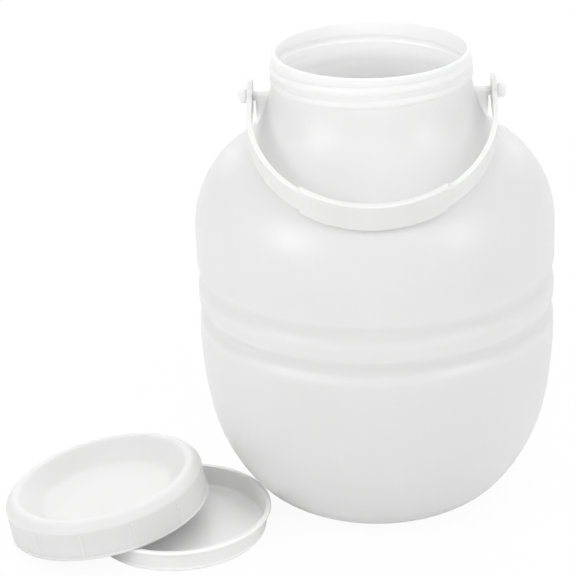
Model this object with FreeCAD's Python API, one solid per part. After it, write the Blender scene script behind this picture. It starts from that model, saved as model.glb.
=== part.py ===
import FreeCAD, Part
import math
import os

# Wide-mouth fermentation jar of blow-moulded polyethylene, empty and open, with its carrying handle
# lowered to the front. Its screw cap and its dish-shaped inner lid lie on the ground beside it.
# Millimetres and degrees. The origin is the centre of the jar's base on the ground, +Z is up, the
# handle's pegs lie on the X axis, and the front is -Y.

Vector = FreeCAD.Vector
ORIGIN = Vector(0, 0, 0)
ALONG_X = Vector(1, 0, 0)
ALONG_Y = Vector(0, 1, 0)
UP = Vector(0, 0, 1)

# ---- driving sizes: jar body ----
body_radius = 100.0        # outside of the straight side
wall = 2.0                 # thickness of the blown wall
corner_radii = (45.6, 100.8, 246.0)      # bottom rounding, from the foot up
corner_sweeps = (52.1, 27.6, 10.3)       # degrees of each, 90 in all
foot_width = 5.0           # flat ring that the jar stands on
base_recess = 2.5          # how far the middle of the base is pushed up
base_slope_width = 6.0
side_length = 59.4         # straight side, from the bottom rounding to the shoulder
shoulder_radius = 54.6
shoulder_flat = 2.0        # straight stretch between shoulder and neck fillet
neck_fillet = 52.0

# ---- driving sizes: the pair of shallow grooves round the body ----
groove_half_width = 8.2
lower_groove_depth = 2.7
upper_groove_depth = 2.0
lower_groove_rise = 11.8   # centre above the start of the straight side
groove_spacing = 20.4

# ---- driving sizes: neck and thread ----
neck_radius = 53.8         # outside, at the rim
neck_draft = 2.0           # degrees
neck_length = 14.0
thread_height = 1.05
thread_inside_depth = 0.55               # how deep the thread shows on the inside of the neck
thread_width = 5.4
thread_pitch = 7.2
thread_turns = 1.6
thread_below_rim = 5.6     # rim to the upper end of the thread, at its crest
thread_end_angle = 350.0   # direction of the upper end, seen from above
thread_root_depth = 0.5    # how far a ridge's foot lies in its wall

# ---- driving sizes: pegs that carry the handle ----
peg_below_rim = 25.8
peg_diameter = 5.0
peg_head_diameter = 7.8
peg_head_length = 5.2
peg_head_dome = 1.9
peg_head_round = 0.9       # of the head's edge towards the strap
web_edge = 63.3            # outer edge of the web under a peg, from the jar's axis
web_top_width = 4.6
web_foot_width = 2.2
web_depth = 24.0

# ---- driving sizes: handle ----
strap_thickness = 2.7
strap_width = 11.8
strap_gap = 1.65           # between a web and the strap beside it
arm_length = 20.0          # straight part, from the peg's axis
bow_depth = 82.0           # half-ellipse from the arms to the middle of the grip
grip_length = 77.0
grip_width = 16.2
grip_thickness = 3.4
eye_radius = 9.7
peg_clearance = 0.3        # round the peg, and between the strap and the peg's head
rest_clearance = 0.8       # between the resting handle and the shoulder
edge_round = 0.8

# ---- driving sizes: inner lid, a dish that lies with its open side up ----
dish_height = 14.0
dish_draft = 9.0           # degrees
dish_wall = 1.4
dish_corner = 3.0
dish_neck_clearance = 0.8  # between the dish's wall and the neck's bore
dish_lip = 1.3             # how far the lip stands out past the wall
dish_lip_height = 1.4
dish_lip_round = 0.6
dish_direction = 205.2     # direction from the jar's axis, seen from above
jar_to_dish = 0.3          # clearance between the jar and the dish

# ---- driving sizes: screw cap ----
cap_wall = 1.6
cap_thread_clearance = 0.3
cap_thread_height = 0.9
cap_thread_width = 2.2
cap_thread_turns = 1.2
cap_thread_drop = 4.0      # skirt's top to the upper end of the cap's thread
skirt_straight = 15.8
skirt_corner = 3.0         # rounding between the skirt and the cap's outer slope
skirt_bend = 42.0          # degrees that the outer slope leans in from the skirt
outer_slope_length = 2.9
crest_radius = 4.5         # rounding of the raised ring
inner_slope = 42.0         # degrees below the horizontal, from the ring to the sunken middle
inner_slope_length = 10.3
recess_corner = 8.0
skirt_lip = 0.5            # how far the skirt's foot stands out
skirt_lip_height = 1.4
grip_rib_count = 12
grip_rib_width = 1.3
grip_rib_height = 0.45
grip_rib_drop = 1.0        # skirt's top to the top of a rib
cap_to_dish = 40.0         # between the two centres, seen from above
cap_direction = 172.0      # direction from the dish to the cap
lean_clearance = 0.2       # between the cap and the dish's lip

# ---- derived sizes ----
bore_radius = neck_radius - wall
cap_radius = neck_radius + thread_height + cap_thread_clearance + cap_wall
strap_centre = web_edge + strap_gap + strap_thickness / 2
peg_head_start = strap_centre + strap_thickness / 2 + peg_clearance
dish_rim_radius = bore_radius - dish_neck_clearance
lip_radius = dish_rim_radius + dish_lip
dish_foot_radius = dish_rim_radius - dish_height * math.tan(math.radians(dish_draft))


def polar(radius, degrees):
    angle = math.radians(degrees)
    return Vector(radius * math.cos(angle), radius * math.sin(angle), 0)


def upright(radius, degrees):
    """As polar, but in the XZ plane."""
    angle = math.radians(degrees)
    return Vector(radius * math.cos(angle), 0, radius * math.sin(angle))


def line(start, end):
    return Part.LineSegment(start, end).toShape()


def trace(start, heading, moves, inset=0.0):
    """Edges of an outline in the XZ plane, and its end point. A move is ("line", length) or
    ("turn", radius, degrees), where positive degrees turn left. Inset shifts the whole to its left."""
    point = start + upright(inset, heading + 90)
    edges = []
    for move in moves:
        if move[0] == "line":
            end = point + upright(move[1], heading)
            edges.append(line(point, end))
        else:
            turn = move[2]
            side = 1 if turn > 0 else -1
            radius = move[1] - side * inset
            centre = point + upright(radius, heading + 90 * side)
            middle, end = [centre + upright(radius, heading - 90 * side + turn * part) for part in (0.5, 1.0)]
            edges.append(Part.Arc(point, middle, end).toShape())
            heading += turn
        point = end
    return edges, point


def revolve(edges):
    """Solid of revolution about Z from a closed outline in the XZ plane."""
    face = Part.Face(Part.Wire(Part.__sortEdges__(edges)))
    return face.revolve(ORIGIN, UP, 360)


def opposite(shape, side):
    """The shape itself for side 1, and turned to the other side of the jar for side -1."""
    if side < 0:
        shape.rotate(ORIGIN, UP, 180)
    return shape


def groove(depth):
    """Three tangent arcs that dip to the left of the heading and come back."""
    angle = 2 * math.degrees(math.atan(depth / groove_half_width))
    radius = groove_half_width / (2 * math.sin(math.radians(angle)))
    return [("turn", radius, angle), ("turn", radius, -2 * angle), ("turn", radius, angle)]


def shoulder_sweep():
    """How far the shoulder turns from upright, so that the neck meets its radius at the rim."""
    draft = math.radians(neck_draft)
    wanted = body_radius - neck_radius - neck_length * math.sin(draft)
    low, high = draft, math.radians(89)
    for _ in range(60):
        sweep = (low + high) / 2
        drop = shoulder_radius * (1 - math.cos(sweep)) + shoulder_flat * math.sin(sweep)
        drop += neck_fillet * (math.cos(draft) - math.cos(sweep))
        if drop < wanted:
            low = sweep
        else:
            high = sweep
    return math.degrees(sweep)


def corner_reach():
    """Width and height of the bottom rounding."""
    width = height = heading = 0.0
    for radius, sweep in zip(corner_radii, corner_sweeps):
        start, end = math.radians(heading), math.radians(heading + sweep)
        width += radius * (math.sin(end) - math.sin(start))
        height += radius * (math.cos(start) - math.cos(end))
        heading += sweep
    return width, height


corner_width, side_start = corner_reach()
foot_radius = body_radius - corner_width
sweep_up = shoulder_sweep()
lower_groove_start = lower_groove_rise - groove_half_width
land = groove_spacing - 2 * groove_half_width
side_rest = side_length - lower_groove_start - 4 * groove_half_width - land
BODY_MOVES = [("turn", radius, sweep) for radius, sweep in zip(corner_radii, corner_sweeps)]
BODY_MOVES += [("line", lower_groove_start)] + groove(lower_groove_depth) + [("line", land)]
BODY_MOVES += groove(upper_groove_depth) + [("line", side_rest)]
BODY_MOVES += [("turn", shoulder_radius, sweep_up), ("line", shoulder_flat)]
BODY_MOVES += [("turn", neck_fillet, neck_draft - sweep_up), ("line", neck_length - wall / 2)]
neck_end = trace(Vector(foot_radius, 0, 0), 0, BODY_MOVES)[1]
jar_height = neck_end.z + wall / 2 * (1 - math.sin(math.radians(neck_draft)))
peg_height = jar_height - peg_below_rim


def vessel(inset, over_rim):
    """The jar's body, filled, shrunk by inset, with its neck carried on by over_rim."""
    edges, top = trace(Vector(foot_radius, 0, 0), 0, BODY_MOVES, inset)
    slope_angle = math.atan2(base_recess, base_slope_width)
    ring_inner = foot_radius - foot_width + inset * math.tan(slope_angle / 2)
    corners = [
        Vector(0, 0, base_recess + inset),
        Vector(ring_inner - base_slope_width, 0, base_recess + inset),
        Vector(ring_inner, 0, inset),
        Vector(foot_radius, 0, inset),
    ]
    for start, end in zip(corners, corners[1:]):
        edges.append(line(start, end))
    end = top
    if over_rim:
        end = top + UP * over_rim
        edges.append(line(top, end))
    axis_top = Vector(0, 0, end.z)
    edges += [line(end, axis_top), line(axis_top, corners[0])]
    return revolve(edges), top


def helix_ridge(root_radius, height, width, z_top, turns, top_angle, outward=1):
    """A right-handed thread ridge with rounded ends, on a wall of root_radius."""
    rise = thread_pitch * turns
    helix = Part.makeLongHelix(thread_pitch, rise, root_radius, 0)
    pieces = []
    for part in (0, 1):
        out = polar(1, 360 * turns * part)
        centre = out * root_radius + UP * (rise * part)
        foot = centre - out * (thread_root_depth * outward)
        low, high = foot - UP * (width / 2), foot + UP * (width / 2)
        crest = centre + out * (height * outward)
        arc = Part.Arc(low, crest, high)
        if part == 0:
            section = Part.Wire([arc.toShape(), line(high, low)])
            pieces.append(helix.makePipeShell([section], True, True))
        between = arc.value(arc.FirstParameter * 0.25 + arc.LastParameter * 0.75)
        quarter = Part.Arc(crest, between, high)
        outline = Part.Wire([quarter.toShape(), line(high, foot), line(foot, crest)])
        pieces.append(Part.Face(outline).revolve(foot, out, 360))
    ridge = pieces[0].fuse(pieces[1:])
    ridge.rotate(ORIGIN, UP, top_angle - 360 * turns)
    ridge.translate(UP * (z_top - rise))
    return ridge


def peg(side):
    """Round peg with a domed head, along X."""
    inner = Vector(bore_radius, 0, peg_height)
    shaft = Part.makeCylinder(peg_diameter / 2, peg_head_start - bore_radius, inner, ALONG_X)
    radius = peg_head_diameter / 2
    sphere = (radius ** 2 + peg_head_dome ** 2) / (2 * peg_head_dome)
    half_sweep = math.degrees(math.asin(radius / sphere)) / 2
    start = Vector(peg_head_start, 0, peg_height)
    tip = start + ALONG_X * peg_head_length
    side_moves = [
        ("line", radius - peg_head_round),
        ("turn", peg_head_round, -90),
        ("line", peg_head_length - peg_head_dome - peg_head_round),
    ]
    outline, edge = trace(start, 90, side_moves)
    between = tip - ALONG_X * sphere + upright(sphere, half_sweep)
    outline += [Part.Arc(edge, between, tip).toShape(), line(tip, start)]
    head = Part.Face(Part.Wire(outline)).revolve(start, ALONG_X, 360)
    return opposite(shaft.fuse(head), side)


def web(side):
    """Upright wedge under a peg, from the neck and the shoulder out to web_edge."""
    top, foot = peg_height, peg_height - web_depth
    corners = [(-web_top_width / 2, top), (web_top_width / 2, top)]
    corners += [(web_foot_width / 2, foot), (-web_foot_width / 2, foot)]
    points = [Vector(bore_radius, y, z) for y, z in corners + corners[:1]]
    wedge = Part.Face(Part.makePolygon(points)).extrude(ALONG_X * (web_edge - bore_radius))
    return opposite(wedge, side)


def make_jar():
    body, top = vessel(0.0, 0.0)
    cavity, cavity_top = vessel(wall, wall)
    rim_top = (top + cavity_top) * 0.5 + UP * (wall / 2)
    rim = revolve([Part.Arc(top, rim_top, cavity_top).toShape(), line(cavity_top, top)])
    thread_middle = thread_below_rim + thread_pitch * thread_turns / 2
    root = neck_radius + math.tan(math.radians(neck_draft)) * thread_middle
    placing = (thread_width, rim_top.z - thread_below_rim, thread_turns, thread_end_angle)
    ridge = helix_ridge(root, thread_height, *placing)
    channel = helix_ridge(root - wall, thread_inside_depth, *placing)
    jar = body.fuse([rim, ridge, peg(1), peg(-1), web(1), web(-1)])
    return jar.cut(cavity).cut(channel).removeSplitter()


def bow_face(thickness):
    """The handle's U in its own plane, seen from above, for a strap of this thickness."""
    edges = []
    bend = Vector(0, -arm_length, 0)
    halves = (strap_centre + thickness / 2, strap_centre - thickness / 2)
    depths = (bow_depth + thickness / 2, bow_depth - thickness / 2)
    for half, depth in zip(halves, depths):
        front, side_point = bend - Vector(0, depth, 0), bend + ALONG_X * half
        if depth > half:
            arc = Part.ArcOfEllipse(Part.Ellipse(front, side_point, bend), -math.pi / 2, math.pi / 2)
        else:
            arc = Part.ArcOfEllipse(Part.Ellipse(side_point, front, bend), 0, math.pi)
        edges.append(arc.toShape())
        for side in (1, -1):
            edges.append(line(ALONG_X * (half * side), bend + ALONG_X * (half * side)))
    for side in (1, -1):
        edges.append(line(ALONG_X * (halves[0] * side), ALONG_X * (halves[1] * side)))
    return Part.Face(Part.Wire(Part.__sortEdges__(edges)))


def band(thickness, width):
    face = bow_face(thickness)
    face.translate(UP * (-width / 2))
    return face.extrude(UP * width)


def rest_gap(angle):
    """Least distance from the shoulder's arc to the lower inner edges of a handle lowered by angle."""
    lean_down = math.radians(angle)
    strap = (strap_thickness, strap_width, body_radius)
    grip = (grip_thickness, grip_width, grip_length / 2)
    gaps = []
    for thickness, width, half_length in (strap, grip):
        for step in range(91):
            turn = math.radians(step)
            x = (strap_centre - thickness / 2) * math.cos(turn)
            reach = arm_length + (bow_depth - thickness / 2) * math.sin(turn)
            front = reach * math.cos(lean_down) - width / 2 * math.sin(lean_down)
            z = peg_height - reach * math.sin(lean_down) - width / 2 * math.cos(lean_down)
            if x <= half_length:
                out = math.hypot(x, front) - (body_radius - shoulder_radius)
                gaps.append(math.hypot(out, z - side_start - side_length) - shoulder_radius)
    return min(gaps)


def rest_angle():
    """Degrees below the horizontal at which the handle rests on the shoulder."""
    low, high = 0.0, 60.0
    for _ in range(40):
        angle = (low + high) / 2
        if rest_gap(angle) > rest_clearance:
            low = angle
        else:
            high = angle
    return angle


def make_handle():
    reach = arm_length + bow_depth
    corner = Vector(-grip_length / 2, -1.5 * reach, -grip_width)
    middle = Part.makeBox(grip_length, reach, 2 * grip_width, corner)
    grip = band(grip_thickness, grip_width).common(middle)
    long_edges = [edge for edge in grip.Edges if edge.Length > grip_thickness + edge_round]
    pieces = [grip.makeFillet(edge_round, long_edges)]
    bores = []
    for side in (1, -1):
        start = ALONG_X * (side * strap_centre - strap_thickness / 2)
        pieces.append(Part.makeCylinder(eye_radius, strap_thickness, start, ALONG_X))
        bores.append(Part.makeCylinder(peg_diameter / 2 + peg_clearance, strap_thickness, start, ALONG_X))
    handle = band(strap_thickness, strap_width).fuse(pieces).cut(bores)
    handle.rotate(ORIGIN, ALONG_X, rest_angle())
    handle.translate(UP * peg_height)
    return handle.removeSplitter()


def jar_radius_at(height):
    """Outside radius of the bottom rounding at this height."""
    radius, rise, heading = foot_radius, 0.0, 0.0
    for bend, sweep in zip(corner_radii, corner_sweeps):
        start, end = math.radians(heading), math.radians(heading + sweep)
        top = rise + bend * (math.cos(start) - math.cos(end))
        if height <= top:
            angle = math.acos(math.cos(start) - (height - rise) / bend)
            return radius + bend * (math.sin(angle) - math.sin(start))
        radius += bend * (math.sin(end) - math.sin(start))
        rise = top
        heading += sweep
    return body_radius


DISH_CENTRE = polar(jar_radius_at(dish_height) + lip_radius + jar_to_dish, dish_direction)


def make_inner_lid():
    wall_heading = 90 - dish_draft
    slant = dish_height / math.cos(math.radians(dish_draft))
    corner_tangent = dish_corner * math.tan(math.radians(wall_heading / 2))
    start = Vector(dish_foot_radius - corner_tangent, 0, 0)
    moves = [("turn", dish_corner, wall_heading), ("line", slant - corner_tangent)]
    outer, outer_top = trace(start, 0, moves)
    inner, inner_top = trace(start, 0, moves, dish_wall)
    floor_top = UP * dish_wall
    edges = outer + inner + [line(outer_top, inner_top), line(ORIGIN, floor_top)]
    edges += [line(ORIGIN, start), line(floor_top, start + floor_top)]
    inside = dish_rim_radius - dish_wall / 2
    lip_low = Vector(lip_radius, 0, dish_height - dish_lip_height)
    lip_high = Vector(lip_radius, 0, dish_height)
    ring = [Vector(inside, 0, lip_low.z - dish_lip), lip_low, lip_high, Vector(inside, 0, dish_height)]
    lip = revolve([line(a, b) for a, b in zip(ring, ring[1:] + ring[:1])])
    corner = Vector(-2 * lip_radius, -2 * lip_radius, dish_height)
    above = Part.makeBox(4 * lip_radius, 4 * lip_radius, dish_height, corner)
    dish = revolve(edges).fuse(lip).cut(above).removeSplitter()
    rims = []
    for edge in dish.Edges:
        box = edge.BoundBox
        if abs(box.ZMax - dish_height) < dish_lip_round and box.XMax > lip_radius - dish_lip / 2:
            rims.append(edge)
    dish = dish.makeFillet(dish_lip_round, rims)
    dish.translate(DISH_CENTRE)
    return dish


def cap_side(inset):
    """Outer (inset 0) or inner side of the cap, from the skirt's foot to its axis, and its two ends."""
    moves = [
        ("line", skirt_straight),
        ("turn", skirt_corner, skirt_bend),
        ("line", outer_slope_length),
        ("turn", crest_radius, 90 - skirt_bend + inner_slope),
        ("line", inner_slope_length),
        ("turn", recess_corner, -inner_slope),
    ]
    edges, end = trace(Vector(cap_radius, 0, 0), 90, moves, inset)
    foot, axis_end = Vector(cap_radius - inset, 0, 0), Vector(0, 0, end.z)
    return edges + [line(end, axis_end)], foot, axis_end


def lean():
    """Tilt of the cap in degrees. It touches the ground with the outside of its skirt's foot, and the
    dish's lip with the inside of it."""
    low_reach = cap_radius + skirt_lip
    inside = cap_radius - cap_wall
    high_reach = (inside ** 2 - lip_radius ** 2 + cap_to_dish ** 2) / (2 * cap_to_dish)
    return math.degrees(math.asin((dish_height + lean_clearance) / (low_reach + high_reach)))


def make_cap():
    outer, outer_foot, outer_end = cap_side(0.0)
    inner, inner_foot, inner_end = cap_side(cap_wall)
    cap = revolve(outer + inner + [line(outer_foot, inner_foot), line(outer_end, inner_end)])
    middle_radius = cap_radius - cap_wall / 2
    lip = Part.makeCylinder(cap_radius + skirt_lip, skirt_lip_height)
    lip = lip.cut(Part.makeCylinder(middle_radius, skirt_lip_height))
    thread_size = (cap_thread_height, cap_thread_width)
    thread_z = skirt_straight - cap_thread_drop
    thread = helix_ridge(cap_radius - cap_wall, *thread_size, thread_z, cap_thread_turns, 0.0, -1)
    pieces = [lip, thread]
    rib_length = skirt_straight - grip_rib_drop
    for index in range(grip_rib_count):
        start = Vector(middle_radius, -grip_rib_width / 2, 0)
        rib = Part.makeBox(cap_wall / 2 + grip_rib_height, grip_rib_width, rib_length, start)
        rib.rotate(ORIGIN, UP, 360 / grip_rib_count * index)
        pieces.append(rib)
    cap = cap.fuse(pieces).removeSplitter()
    tilt = lean()
    cap.rotate(ORIGIN, ALONG_Y, tilt)
    cap.rotate(ORIGIN, UP, cap_direction)
    height = (cap_radius + skirt_lip) * math.sin(math.radians(tilt))
    cap.translate(DISH_CENTRE + polar(cap_to_dish, cap_direction) + UP * height)
    return cap


os.makedirs("parts", exist_ok=True)
nodes = {"jar": make_jar(), "handle": make_handle(), "inner_lid": make_inner_lid(), "screw_cap": make_cap()}
for name, shape in nodes.items():
    shape.exportStep("parts/" + name + ".step")
    box = shape.BoundBox
    print(name, "solids", len(shape.Solids), "valid", shape.isValid(), "cm3", round(shape.Volume / 1000, 1),
          "box", [round(value, 2) for value in (box.XMin, box.YMin, box.ZMin, box.XMax, box.YMax, box.ZMax)])
print("jar height", round(jar_height, 2), "shoulder sweep", round(sweep_up, 2), "foot radius",
      round(foot_radius, 2), "peg height", round(peg_height, 2), "rest angle", round(rest_angle(), 2),
      "cap tilt", round(lean(), 2))
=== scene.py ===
import math

import bpy
from mathutils import Matrix, Vector

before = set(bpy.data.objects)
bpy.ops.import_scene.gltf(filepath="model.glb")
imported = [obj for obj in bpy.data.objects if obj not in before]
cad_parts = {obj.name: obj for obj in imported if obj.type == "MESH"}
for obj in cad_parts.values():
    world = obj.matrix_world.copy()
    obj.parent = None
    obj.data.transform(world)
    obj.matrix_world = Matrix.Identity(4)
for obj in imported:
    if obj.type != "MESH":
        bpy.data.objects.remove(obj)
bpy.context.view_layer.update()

# Lengths are in m and angles in degrees, except where a line says otherwise.

# ---- camera ----
camera_place = (0.0, -1.1493, 0.6265)
camera_pitch = 23.60       # below the horizontal
camera_turn = 2.475        # to the left of +Y
camera_roll = -2.20
camera_lens = 138.5        # mm
sensor_width = 36.0        # mm

# ---- light ----
world_strength = 0.68
# name, place, height aimed at on the jar's axis, width, height, power in W
soft_boxes = [
    ("left_box", (-1.215, -0.851, 0.8), 0.2, 0.85, 0.65, 7.4),
    ("right_box", (1.24, -0.81, 0.8), 0.2, 0.7, 0.6, 4.6),
    ("front_box", (0.1, -1.35, 1.5), 0.12, 1.6, 1.2, 6.5),
    ("top_box", (0.15, 0.1, 1.6), 0.2, 2.6, 1.2, 5.0),
    ("back_box", (0, 1.5, 1.0), 0.15, 2.4, 1.6, 13.0),
]

# ---- floor ----
floor_radius = 7.0
floor_sides = 96
floor_drop = 0.0004        # below the object, so that no two faces coincide
floor_colour = 0.80
floor_glow = 0.94          # share of plain white in what the camera sees of the floor

# ---- plastic of each piece ----
# white is how bright the plastic is. It is multiplied by the first share up to the first height, and by the
# second share from the second height on. This is painted light and shade by height: it darkens the jar's
# upper neck, threads and rim, lightens the inner lid's floor in the cap's shadow, and makes the handle and
# the cap a little darker higher up. grain and flow are the cells a metre of the fine grain and the streaks,
# and depth is how far light goes in.
plastics = {
    "jar": dict(
        name="jar_plastic", white=0.973, grain=900.0, flow=22.0, roughness=0.35, depth=0.018,
        # painted shade: the upper neck, threads and rim are darkened to 0.82
        painted_light_shares=(1.0, 0.82), painted_light_heights=(0.220, 0.247), is_jar=True,
    ),
    "handle": dict(
        name="handle_plastic", white=0.75, grain=1200.0, flow=40.0, roughness=0.4, depth=0.0015,
        painted_light_shares=(1.0, 0.98), painted_light_heights=(0.2, 0.25),
    ),
    "screw_cap": dict(
        name="cap_plastic", white=0.76, grain=1200.0, flow=30.0, roughness=0.46, depth=0.008,
        painted_light_shares=(1.0, 0.98), painted_light_heights=(0.0, 0.04),
    ),
    "inner_lid": dict(
        name="lid_plastic", white=0.79, grain=1200.0, flow=30.0, roughness=0.38, depth=0.002,
        # painted light: the inner lid's floor, in the cap's shadow, is lightened by 1.22
        painted_light_shares=(1.22, 1.0), painted_light_heights=(0.0018, 0.004),
    ),
}

# ---- what all the plastic shares ----
glow_share = 0.7           # of the light goes into the plastic before it comes back
plastic_ior = 1.5
grain_strength = 0.25
grain_height = 0.00006
streak_stretch = (1.0, 1.0, 0.3)       # makes the streaks longer upright
streak_places = (0.3, 0.7)             # of the noise, where a streak is darkest and lightest
streak_colours = ((0.975, 0.975, 0.97), (1.012, 1.012, 1.010))     # times the white
cloud_scale = 1.7          # cells of the cloudy patches for each cell of the streaks
gloss_noise = (0.6, 1.4)   # of grain and clouds together, where the plastic is glossiest and dullest
roughness_spread = 0.06    # to either side of a plastic's own roughness

# ---- the jar's seam, and its painted light inside the neck and painted shade on the webs and pegs ----
neck_walls = (0.0524, 0.0534)          # distance from the axis, inside and outside
# painted light: the inside of the neck is lightened, as if lit through its wall
inside_painted_light = 1.012       # of the white, nearer to the axis than the neck's wall
peg_reach = (0.0605, 0.0635)           # the webs and pegs are further from the axis
peg_heights = (0.226, 0.231)           # and higher
# painted shade on the webs and pegs, for the less light that passes through them
peg_painted_shade = 0.88           # of the white, on the webs and pegs
seam_reach = 0.0005        # to either side of the plane Y = 0
seam_strength = 0.6
seam_height = 0.00025


# ---- nodes ----
def fresh_tree(owner):
    """The emptied node tree of a material or a world."""
    owner.use_nodes = True
    owner.node_tree.nodes.clear()
    return owner.node_tree


def add_node(tree, kind, **values):
    node = tree.nodes.new(kind)
    for name, value in values.items():
        setattr(node, name, value)
    return node


def add_math(tree, operation, *values):
    node = add_node(tree, "ShaderNodeMath", operation=operation)
    for value, socket in zip(values, node.inputs):
        tree.links.new(value, socket)
    return node.outputs[0]


def add_noise(tree, place, scale, detail):
    node = add_node(tree, "ShaderNodeTexNoise")
    node.inputs["Scale"].default_value = scale
    node.inputs["Detail"].default_value = detail
    tree.links.new(place, node.inputs["Vector"])
    return node.outputs["Fac"]


def add_stretch(tree, place, scale):
    node = add_node(tree, "ShaderNodeMapping")
    node.inputs["Scale"].default_value = scale
    tree.links.new(place, node.inputs["Vector"])
    return node.outputs[0]


def add_range(tree, value, source, result, kind="LINEAR"):
    """Result[0] up to source[0], result[1] from source[1] on, and a passage between them."""
    node = add_node(tree, "ShaderNodeMapRange", interpolation_type=kind)
    node.inputs["From Min"].default_value = source[0]
    node.inputs["From Max"].default_value = source[1]
    node.inputs["To Min"].default_value = result[0]
    node.inputs["To Max"].default_value = result[1]
    tree.links.new(value, node.inputs["Value"])
    return node.outputs[0]


def add_scaling(tree, colour, share):
    node = add_node(tree, "ShaderNodeVectorMath", operation="SCALE")
    tree.links.new(colour, node.inputs[0])
    tree.links.new(share, node.inputs["Scale"])
    return node.outputs[0]


def add_bump(tree, height, strength, distance, under=None):
    """A bump on the plain surface, or on the bump under it."""
    node = add_node(tree, "ShaderNodeBump")
    node.inputs["Strength"].default_value = strength
    node.inputs["Distance"].default_value = distance
    tree.links.new(height, node.inputs["Height"])
    if under is not None:
        tree.links.new(under, node.inputs["Normal"])
    return node.outputs[0]


def show_mix(tree, output, share, first, second):
    """Shows the first shader, with so much of the second over it."""
    mix = add_node(tree, "ShaderNodeMixShader")
    tree.links.new(share, mix.inputs["Fac"])
    tree.links.new(first, mix.inputs[1])
    tree.links.new(second, mix.inputs[2])
    out = add_node(tree, output)
    tree.links.new(mix.outputs[0], out.inputs["Surface"])


# ---- plastic ----
def streaks(tree, coords, white, flow):
    """Broad upright streaks, as the plastic flowed in the mould."""
    noise = add_noise(tree, add_stretch(tree, coords, streak_stretch), flow, detail=2.0)
    ramp = add_node(tree, "ShaderNodeValToRGB")
    for stop, place, colour in zip(ramp.color_ramp.elements, streak_places, streak_colours):
        stop.position = place
        stop.color = [white * part for part in colour] + [1.0]
    tree.links.new(noise, ramp.inputs["Fac"])
    return ramp.outputs["Color"]


def distance_from_axis(tree, coords):
    node = add_node(tree, "ShaderNodeVectorMath", operation="LENGTH")
    tree.links.new(add_stretch(tree, coords, (1.0, 1.0, 0.0)), node.inputs[0])
    return node.outputs["Value"]


def keep_painted_light_inside(tree, distance, share):
    """Painted light: the share as it is beyond the neck's wall, and the brighter inside share nearer to the
    axis, so that the inside of the neck looks lit through its wall and is spared the neck's painted shade.
    """
    kept = add_range(tree, distance, neck_walls, (inside_painted_light, 1.0))
    tree.links.new(share, kept.node.inputs["To Max"])
    return kept


def paint_peg_shade(tree, distance, height):
    """Painted shade: the webs and pegs are solid, so they let less light through, and their colour is
    darkened to show it.
    """
    outer = add_range(tree, distance, peg_reach, (0.0, 1.0), "SMOOTHSTEP")
    upper = add_range(tree, height, peg_heights, (0.0, 1.0), "SMOOTHSTEP")
    return add_range(tree, add_math(tree, "MULTIPLY", outer, upper), (0.0, 1.0), (1.0, peg_painted_shade))


def seam(tree, across, under):
    """The thin ridge that the two halves of the mould leave in the plane Y = 0."""
    ridge = add_range(tree, add_math(tree, "ABSOLUTE", across), (0.0, seam_reach), (1.0, 0.0), "SMOOTHSTEP")
    return add_bump(tree, ridge, seam_strength, seam_height, under)


def plastic(name, white, grain, flow, roughness, depth, painted_light_shares, painted_light_heights, is_jar=False):
    """Satin polyethylene: light passes a little way into it, and the mould leaves a fine grain. Each
    piece's colour also gets painted light and shade by height. The jar's has painted light inside the neck,
    painted shade on the webs and pegs, and a seam."""
    material = bpy.data.materials.new(name)
    tree = fresh_tree(material)
    shader = add_node(tree, "ShaderNodeBsdfPrincipled", subsurface_method="RANDOM_WALK")
    shader.inputs["Subsurface Weight"].default_value = glow_share
    shader.inputs["Subsurface Radius"].default_value = (1.0, 1.0, 1.0)
    shader.inputs["Subsurface Scale"].default_value = depth
    shader.inputs["IOR"].default_value = plastic_ior
    out = add_node(tree, "ShaderNodeOutputMaterial")
    tree.links.new(shader.outputs[0], out.inputs["Surface"])

    coords = add_node(tree, "ShaderNodeTexCoord").outputs["Object"]
    axes = add_node(tree, "ShaderNodeSeparateXYZ")
    tree.links.new(coords, axes.inputs[0])
    height = axes.outputs["Z"]

    colour = streaks(tree, coords, white, flow)
    # painted light and shade by height, from the plastic's two shares
    share = add_range(tree, height, painted_light_heights, painted_light_shares, "SMOOTHSTEP")
    if is_jar:
        # painted light inside the neck, then painted shade on the webs and pegs
        distance = distance_from_axis(tree, coords)
        colour = add_scaling(tree, colour, keep_painted_light_inside(tree, distance, share))
        share = paint_peg_shade(tree, distance, height)
    tree.links.new(add_scaling(tree, colour, share), shader.inputs["Base Color"])

    # handling has polished the grain in cloudy patches
    fine = add_noise(tree, coords, grain, detail=3.0)
    cloud = add_noise(tree, coords, flow * cloud_scale, detail=4.0)
    spread = (roughness - roughness_spread, roughness + roughness_spread)
    rough = add_range(tree, add_math(tree, "ADD", fine, cloud), gloss_noise, spread)
    tree.links.new(rough, shader.inputs["Roughness"])

    surface = add_bump(tree, fine, grain_strength, grain_height)
    if is_jar:
        surface = seam(tree, axes.outputs["Y"], surface)
    tree.links.new(surface, shader.inputs["Normal"])
    return material


def dress(node, material):
    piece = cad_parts[node]
    piece.data.materials.clear()
    piece.data.materials.append(material)


for piece_name, values in plastics.items():
    dress(piece_name, plastic(**values))


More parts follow.
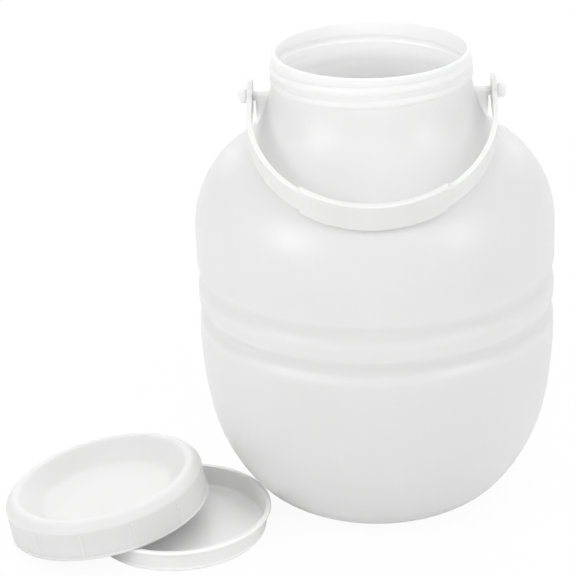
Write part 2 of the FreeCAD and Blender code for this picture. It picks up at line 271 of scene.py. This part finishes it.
# ---- surroundings ----
def make_floor():
    """A pale floor that the camera sees nearly white, with the object's faint shadow on it."""
    bpy.ops.mesh.primitive_circle_add(
        vertices=floor_sides, radius=floor_radius, fill_type="NGON", location=(0, 0, -floor_drop))
    floor = bpy.context.object
    floor.name = "floor"
    material = bpy.data.materials.new("pale_floor")
    tree = fresh_tree(material)
    diffuse = add_node(tree, "ShaderNodeBsdfDiffuse")
    diffuse.inputs["Color"].default_value = (floor_colour, floor_colour, floor_colour, 1.0)
    glow = add_node(tree, "ShaderNodeEmission")
    glow.inputs["Color"].default_value = (1.0, 1.0, 1.0, 1.0)
    glow.inputs["Strength"].default_value = 1.0
    path = add_node(tree, "ShaderNodeLightPath")
    share = add_node(tree, "ShaderNodeMath", operation="MULTIPLY")
    share.inputs[1].default_value = floor_glow
    tree.links.new(path.outputs["Is Camera Ray"], share.inputs[0])
    show_mix(tree, "ShaderNodeOutputMaterial", share.outputs[0], diffuse.outputs[0], glow.outputs[0])
    floor.data.materials.append(material)


def add_background(tree, strength):
    node = add_node(tree, "ShaderNodeBackground")
    node.inputs["Strength"].default_value = strength
    node.inputs["Color"].default_value = (1.0, 1.0, 1.0, 1.0)
    return node.outputs[0]


def make_world():
    """Even white light on the object, and plain white behind it."""
    world = bpy.data.worlds.new("studio")
    bpy.context.scene.world = world
    tree = fresh_tree(world)
    path = add_node(tree, "ShaderNodeLightPath")
    seen = add_math(tree, "MAXIMUM", path.outputs["Is Camera Ray"], path.outputs["Is Transmission Ray"])
    light = add_background(tree, world_strength)
    plain_white = add_background(tree, 1.0)
    show_mix(tree, "ShaderNodeOutputWorld", seen, light, plain_white)


def make_soft_box(name, place, aim_height, width, height, power):
    data = bpy.data.lights.new(name, "AREA")
    data.shape = "RECTANGLE"
    data.size = width
    data.size_y = height
    data.energy = power
    lamp = bpy.data.objects.new(name, data)
    bpy.context.scene.collection.objects.link(lamp)
    lamp.location = place
    aim = Vector((0, 0, aim_height)) - Vector(place)
    lamp.rotation_euler = aim.to_track_quat("-Z", "Y").to_euler()


def make_camera():
    camera = bpy.data.objects.new("camera", bpy.data.cameras.new("camera"))
    bpy.context.scene.collection.objects.link(camera)
    camera.data.lens = camera_lens
    camera.data.sensor_width = sensor_width
    turn = Matrix.Rotation(math.radians(camera_turn), 4, "Z")
    tip = Matrix.Rotation(math.radians(90 - camera_pitch), 4, "X")
    roll = Matrix.Rotation(math.radians(camera_roll), 4, "Z")
    camera.matrix_world = Matrix.Translation(camera_place) @ turn @ tip @ roll
    bpy.context.scene.camera = camera


make_floor()
make_world()
for box in soft_boxes:
    make_soft_box(*box)
make_camera()
bpy.context.scene.view_settings.view_transform = "Standard"
